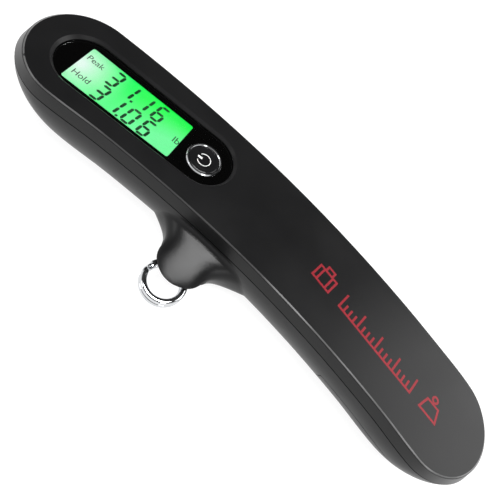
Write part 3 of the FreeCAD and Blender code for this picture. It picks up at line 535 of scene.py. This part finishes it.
# ---- print --------------------------------------------------------------------------------
def framed(corners):
    """Mitred strokes along a convex outline whose corners run anticlockwise."""
    here = [Vector(corner) for corner in corners]
    count = len(here)
    reach = []
    for i in range(count):
        before = (here[i] - here[i - 1]).normalized()
        after = (here[(i + 1) % count] - here[i]).normalized()
        out = Vector((before.y + after.y, -before.x - after.x))
        reach.append(out * (PRINT_STROKE / 2) / (1 + before.dot(after)))
    sides = [(i, (i + 1) % count) for i in range(count)]
    return [[here[i] - reach[i], here[i] + reach[i], here[j] + reach[j], here[j] - reach[j]]
            for i, j in sides]


def upright(u, foot, head):
    """An upright stroke that fits between two level strokes without lying over them."""
    return bar(u, foot + PRINT_STROKE / 2, u, head - PRINT_STROKE / 2, PRINT_STROKE)


def level(first, last, v):
    """A level stroke that covers the ends of the uprights at both its ends."""
    return bar(first - PRINT_STROKE / 2, v, last + PRINT_STROKE / 2, v, PRINT_STROKE)


def suitcase_outlines(u):
    """A suitcase sign: a framed body with two bands and a handle."""
    body = framed([(u - CASE_HALF, PRINT_FOOT), (u + CASE_HALF, PRINT_FOOT),
                   (u + CASE_HALF, CASE_TOP), (u - CASE_HALF, CASE_TOP)])
    bands = [upright(u + side * BAND_U, PRINT_FOOT, CASE_TOP) for side in (-1, 1)]
    handle = [upright(u + side * HANDLE_U, CASE_TOP, HANDLE_TOP) for side in (-1, 1)]
    handle.append(level(u - HANDLE_U, u + HANDLE_U, HANDLE_TOP))
    return body + bands + handle


def weight_outlines(u):
    """A weight sign: a trapezoid with a ring on top."""
    (foot_half, foot), (top_half, top) = WEIGHT_FOOT, WEIGHT_TOP
    body = framed([(u - foot_half, foot), (u + foot_half, foot), (u + top_half, top),
                   (u - top_half, top)])
    middle = top + WEIGHT_RING + PRINT_STROKE
    ring = [[(x + u, y + middle) for x, y in quad]
            for quad in ring_outline(WEIGHT_RING, PRINT_STROKE, steps=24)]
    return body + ring


def tick_outlines():
    """A graduated line: a base stroke and upright ticks, every few of them tall."""
    first, last = TICK_SPAN
    tall, short = TICK_HEADS
    shapes = [level(first, last, PRINT_FOOT)]
    for i in range(TICK_COUNT):
        u = first + (last - first) * i / (TICK_COUNT - 1)
        shapes.append(upright(u, PRINT_FOOT, tall if i % TALL_EVERY == 0 else short))
    return shapes


def arm_print():
    """The red marks on the right arm: a suitcase, a graduated line and a weight."""
    low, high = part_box("front_cover")
    along, down = PRINT_AT
    place = turned_place(Vector((low.x + along * (high.x - low.x),
                                 high.y - down * (high.y - low.y),
                                 high.z + PRINT_LIFT * MM)), PRINT_TURN)
    shapes = suitcase_outlines(SUITCASE_U) + tick_outlines() + weight_outlines(WEIGHT_U)
    red = printed("print_red", (0.128, 0.010, 0.014), (0.165, 0.013, 0.019))
    add_piece("arm_print", flat_mesh("arm_print", shapes), red, "housing", place)


# ---- carried-over CAD nodes ---------------------------------------------------------------
def dress_nodes():
    """Give every CAD node its material."""
    soft = soft_touch_black()
    steel = metal("screw_steel", (0.35, 0.35, 0.36), (0.6, 0.6, 0.61), 0.3)
    bright = metal("contact_nickel", (0.5, 0.49, 0.46), (0.7, 0.69, 0.65), 0.25)
    ivory = moulded("inner_white", (0.62, 0.62, 0.59), (0.74, 0.74, 0.71), 0.5)
    dark = moulded("inner_black", (0.015, 0.015, 0.015), (0.03, 0.03, 0.03), 0.5)
    uses = [
        (soft, ("front_cover", "back_shell", "battery_cover")),
        (clear_lens(), ("display_lens",)),
        (glossy_black("black_print", 0.1), ("lens_mask",)),
        (glossy_black("button_black", 0.12), ("power_button",)),
        (chrome("bezel_chrome"), ("button_bezel",)),
        (chrome("ring_chrome"), ("split_ring",)),
        (steel, ("housing_screws", "load_cell_screws", "pcb_screws", "pull_rod", "rod_nut",
                 "rod_washer")),
        (bright, ("outer_contact", "positive_contact", "negative_contact", "quartz_can")),
        (ivory, ("lcd_frame", "light_led", "neck_bush", "gauge_coating", "gauge_wires")),
        (dark, ("battery_tray", "tact_switch", "switch_plunger", "controller_blob",
                "converter_chip", "battery_wire_black")),
        (metal("beam_alloy", (0.55, 0.56, 0.57), (0.75, 0.76, 0.77), 0.35), ("load_cell_beam",)),
        (moulded("board_green", (0.01, 0.11, 0.04), (0.02, 0.2, 0.08), 0.35), ("main_pcb",)),
        (moulded("part_ceramic", (0.3, 0.22, 0.15), (0.5, 0.4, 0.3), 0.5), ("small_parts",)),
        (moulded("gauge_foil", (0.45, 0.3, 0.1), (0.6, 0.42, 0.16), 0.3), ("strain_gauges",)),
        (moulded("strip_pink", (0.5, 0.28, 0.28), (0.62, 0.36, 0.36), 0.6), ("contact_strip",)),
        (moulded("wire_red", (0.4, 0.02, 0.02), (0.55, 0.03, 0.03), 0.4), ("battery_wire_red",)),
        (moulded("light_guide", (0.3, 0.7, 0.35), (0.4, 0.85, 0.45), 0.4), ("light_panel",)),
        (moulded("display_glass", (0.05, 0.14, 0.07), (0.07, 0.18, 0.09), 0.15), ("lcd_glass",)),
        (metal("cell_jacket", (0.10, 0.11, 0.13), (0.2, 0.21, 0.24), 0.3),
         ("battery_1", "battery_2")),
    ]
    for material, names in uses:
        for name in names:
            nodes[name].data.materials.clear()
            nodes[name].data.materials.append(material)
    dressed = {name for _, names in uses for name in names}
    missing = sorted(set(nodes) - dressed)
    if missing:
        raise ValueError("no material for " + ", ".join(missing))


# ---- stage, light and camera --------------------------------------------------------------
def stage_floor():
    """A wide pale floor, lit a little from inside like a light table."""
    mesh = bpy.data.meshes.new("floor")
    shape = bmesh.new()
    bmesh.ops.create_grid(shape, x_segments=2, y_segments=2, size=FLOOR_HALF)
    shape.to_mesh(mesh)
    shape.free()
    floor = bpy.data.objects.new("floor", mesh)
    bpy.context.scene.collection.objects.link(floor)
    floor.location.z = -FLOOR_DROP * MM
    white = moulded("floor_white", (FLOOR_GREY,) * 3, (FLOOR_GREY + 0.02,) * 3, 0.8, grain=300.0,
                    specular=0.1)
    shader = white.node_tree.nodes["Principled BSDF"]
    shader.inputs["Emission Color"].default_value = (1.0, 1.0, 1.0, 1.0)
    shader.inputs["Emission Strength"].default_value = FLOOR_GLOW
    mesh.materials.append(white)


def soft_light(name, direction, size, brightness):
    """A soft lamp one metre away from the scale, facing it."""
    lamp = bpy.data.lights.new(name, "AREA")
    lamp.shape = "RECTANGLE"
    lamp.size, lamp.size_y = size
    lamp.energy = brightness * math.pi * size[0] * size[1]
    holder = bpy.data.objects.new(name, lamp)
    aim = Vector(direction).normalized()
    holder.location = aim
    holder.rotation_euler = (-aim).to_track_quat("-Z", "Y").to_euler()
    bpy.context.scene.collection.objects.link(holder)


def camera():
    """The camera, above the neck side and rolled so that the grip runs across the picture."""
    data = bpy.data.cameras.new("camera")
    data.sensor_width = SENSOR_WIDTH
    data.lens = FOCAL_LENGTH
    data.clip_start = NEAREST
    holder = bpy.data.objects.new("camera", data)
    right = Vector(CAMERA_RIGHT).normalized()
    forward = Vector(CAMERA_FORWARD).normalized()
    up = right.cross(forward)
    place = Vector(CAMERA_PLACE) * MM
    turn = Matrix((right, up, -forward)).transposed().to_4x4()
    holder.matrix_world = Matrix.Translation(place) @ turn
    bpy.context.scene.collection.objects.link(holder)
    bpy.context.scene.camera = holder


def world_light():
    """A surround that is white near the horizon and dim overhead."""
    world = bpy.data.worlds.new("surround")
    bpy.context.scene.world = world
    world.use_nodes = True
    tree = world.node_tree
    back = tree.nodes["Background"]
    source = tree.nodes.new("ShaderNodeTexCoord")
    height = axes(tree, source.outputs["Generated"])["Z"]
    link(tree, ranged(tree, height, 1.0, SKY_DIM, *HORIZON), back.inputs["Strength"])
    back.inputs["Color"].default_value = (1.0, 1.0, 1.0, 1.0)


dress_nodes()
display()
power_symbol()
arm_print()
stage_floor()
camera()
world_light()
for light in LIGHTS:
    soft_light(*light)
bpy.context.scene.view_settings.view_transform = "Standard"
